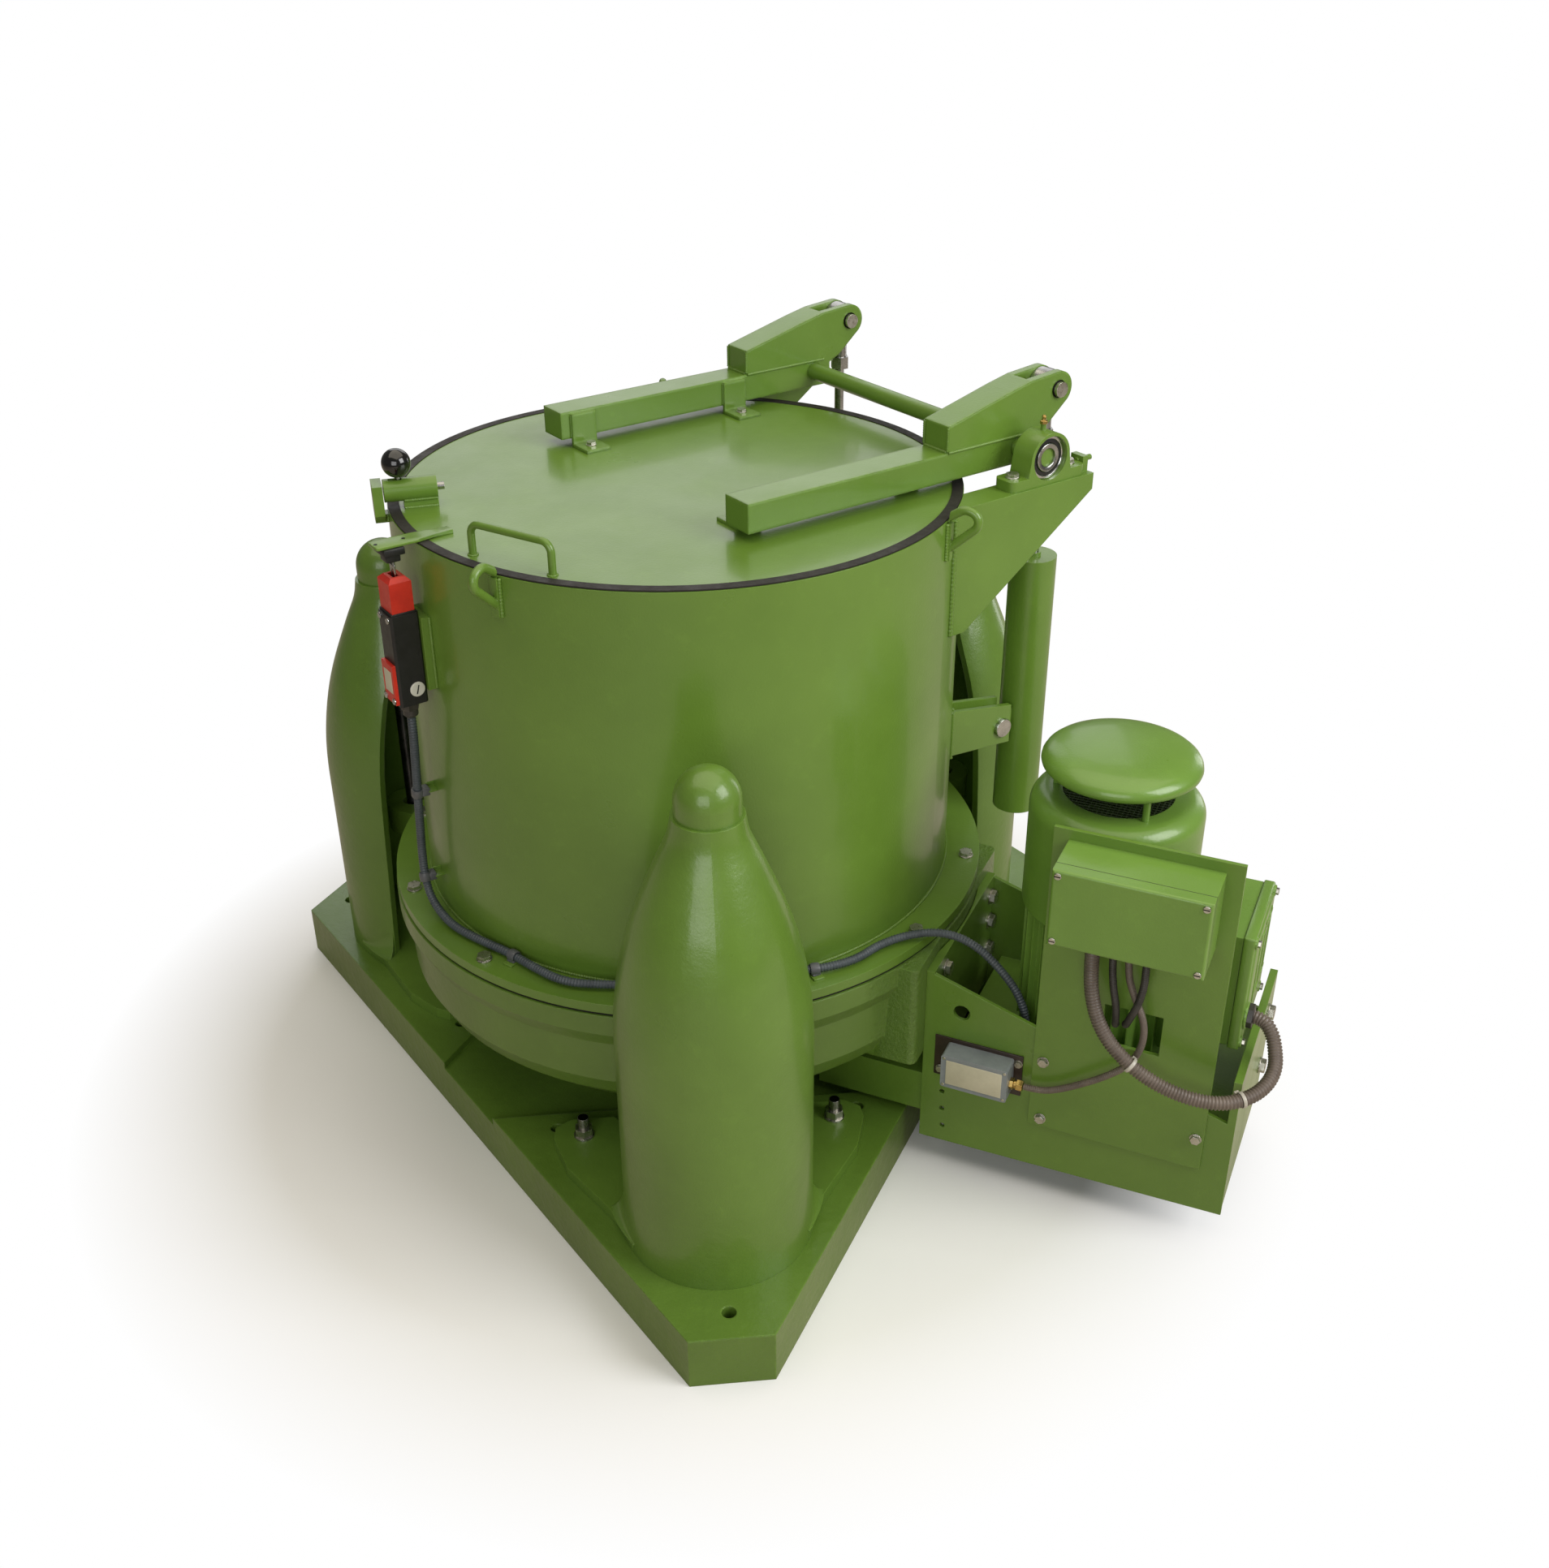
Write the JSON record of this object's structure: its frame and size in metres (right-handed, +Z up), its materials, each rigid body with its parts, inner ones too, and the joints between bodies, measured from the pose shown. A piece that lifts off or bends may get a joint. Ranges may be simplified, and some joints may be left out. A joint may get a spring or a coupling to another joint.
{
  "type": "basket centrifuge",
  "caption": "Top-loading basket centrifuge on a columned pedestal, with a belt drive motor, a counterbalanced hinged lid, a slide latch and a lid interlock switch.",
  "frame": {"origin": "basket axis at the underside of the base plate", "axes": "+Z up, +X towards the drive motor"},
  "size_m": [1.6844, 1.3412, 1.1056],
  "materials": {
    "green_enamel": "glossy enamel",
    "green_cast": "glossy enamel over a rough casting",
    "zinc": "zinc plated",
    "steel": "ground steel",
    "spring_steel": "oiled spring steel",
    "stainless": "satin stainless",
    "cast_iron": "machined casting",
    "black_rubber": "matt",
    "black_plastic": "satin",
    "red_plastic": "satin",
    "grey_box": "die cast",
    "conduit_grey": "ribbed conduit",
    "conduit_brown": "ribbed conduit",
    "gland": "plated brass"
  },
  "bodies": {
    "pedestal": {"base_plate": "green_cast", "column_a": "green_enamel", "column_b": "green_enamel", "column_c": "green_enamel", "column_caps": "green_enamel", "foot_fasteners": "zinc"},
    "bowl": {"pan": "green_cast", "pan_gasket": "black_rubber", "casing": "green_enamel", "casing_bolts": "zinc", "hinge_brackets": "green_enamel", "bearing_blocks": "green_enamel", "catch_plate": "green_enamel", "switch_body": "black_plastic", "switch_covers": "red_plastic", "switch_bracket": "green_enamel", "lifting_lugs": "green_enamel", "trunnion_forks": "green_enamel", "motor_bracket": "green_cast", "motor_frame": "green_enamel", "motor_cowl": "green_enamel", "motor_hood": "green_enamel", "terminal_box": "green_enamel", "terminal_box_lid": "green_enamel", "back_plate": "green_enamel", "junction_box": "green_enamel", "junction_box_lid": "green_enamel", "sensor_box": "grey_box", "conduit_fittings": "gland", "switch_conduit": "conduit_grey", "motor_lead": "conduit_brown", "sensor_lead": "conduit_brown", "drive_belts": "black_rubber", "belt_guard": "green_enamel", "spindle_housing": "cast_iron"},
    "lid": {"hinge_shaft": "green_enamel", "lid_plate": "green_enamel", "lid_gasket": "black_rubber", "lid_arm_near": "green_enamel", "lid_arm_far": "green_enamel", "arm_bolts": "zinc", "lid_handle": "green_enamel", "latch_barrel": "green_enamel", "switch_key": "steel"},
    "latch": {"latch_pin": "steel", "latch_knob": "black_plastic"},
    "basket": {"spindle": "steel", "driven_pulley": "cast_iron", "basket": "stainless"},
    "rotor": {"motor_rotor": "steel", "drive_pulley": "cast_iron"},
    "cylinder_near": {"balance_cylinder_near": "green_enamel", "balance_spring_near": "spring_steel"},
    "cylinder_far": {"balance_cylinder_far": "green_enamel", "balance_spring_far": "spring_steel"},
    "piston_near": {"piston_rod_near": "steel"},
    "piston_far": {"piston_rod_far": "steel"},
    "suspension_a": {"suspension_rod_a": "steel"},
    "suspension_b": {"suspension_rod_b": "steel"},
    "suspension_c": {"suspension_rod_c": "steel"}
  },
  "joints": [
    {"name": "bowl_sway", "type": "slide", "parent": "pedestal", "child": "bowl", "axis": [1, 0, 0], "range_m": [-0.008, 0.008], "stiffness_N_per_m": 14000},
    {"name": "suspension_a_tilt", "type": "hinge", "parent": "pedestal", "child": "suspension_a", "pos_m": [0.264, -0.4573, 0.69], "axis": [0, -1, 0], "range_deg": [-1.3, 1.3]},
    {"name": "suspension_b_tilt", "type": "hinge", "parent": "pedestal", "child": "suspension_b", "pos_m": [-0.528, 0, 0.69], "axis": [0, -1, 0], "range_deg": [-1.3, 1.3]},
    {"name": "suspension_c_tilt", "type": "hinge", "parent": "pedestal", "child": "suspension_c", "pos_m": [0.264, 0.4573, 0.69], "axis": [0, -1, 0], "range_deg": [-1.3, 1.3]},
    {"name": "lid_hinge", "type": "hinge", "parent": "bowl", "child": "lid", "pos_m": [0.2005, 0.34728, 1.011], "axis": [-0.866, 0.5, 0], "range_deg": [0, 80]},
    {"name": "latch_slide", "type": "slide", "parent": "lid", "child": "latch", "axis": [-0.766, -0.6428, 0], "range_m": [0, 0.009]},
    {"name": "basket_spin", "type": "hinge", "parent": "bowl", "child": "basket", "pos_m": [0, 0, 0.41], "axis": [0, 0, 1], "continuous": true},
    {"name": "rotor_spin", "type": "hinge", "parent": "bowl", "child": "rotor", "pos_m": [0.662, 0, 0.33], "axis": [0, 0, 1], "continuous": true},
    {"name": "cylinder_near_tilt", "type": "hinge", "parent": "bowl", "child": "cylinder_near", "pos_m": [0.41125, 0.2383, 0.561], "axis": [-0.866, 0.5, 0], "range_deg": [0, 3.4]},
    {"name": "piston_rod_near_slide", "type": "slide", "parent": "cylinder_near", "child": "piston_near", "axis": [0, 0, -1], "range_m": [0, 0.127], "deforming": ["balance_spring_near"]},
    {"name": "cylinder_far_tilt", "type": "hinge", "parent": "bowl", "child": "cylinder_far", "pos_m": [0.00075, 0.4753, 0.561], "axis": [-0.866, 0.5, 0], "range_deg": [0, 3.4]},
    {"name": "piston_rod_far_slide", "type": "slide", "parent": "cylinder_far", "child": "piston_far", "axis": [0, 0, -1], "range_m": [0, 0.127], "deforming": ["balance_spring_far"]}
  ],
  "couplings": [
    {"joint": "suspension_a_tilt", "follows": "bowl_sway", "rad_per_m": 2.4752},
    {"joint": "suspension_b_tilt", "follows": "bowl_sway", "rad_per_m": 2.4752},
    {"joint": "suspension_c_tilt", "follows": "bowl_sway", "rad_per_m": 2.4752},
    {"joint": "cylinder_near_tilt", "follows": "lid_hinge", "ratio": 0.04},
    {"joint": "piston_rod_near_slide", "follows": "lid_hinge", "m_per_rad": 0.0901},
    {"joint": "cylinder_far_tilt", "follows": "lid_hinge", "ratio": 0.04},
    {"joint": "piston_rod_far_slide", "follows": "lid_hinge", "m_per_rad": 0.0901},
    {"joint": "rotor_spin", "follows": "basket_spin", "ratio": 2.1818}
  ]
}
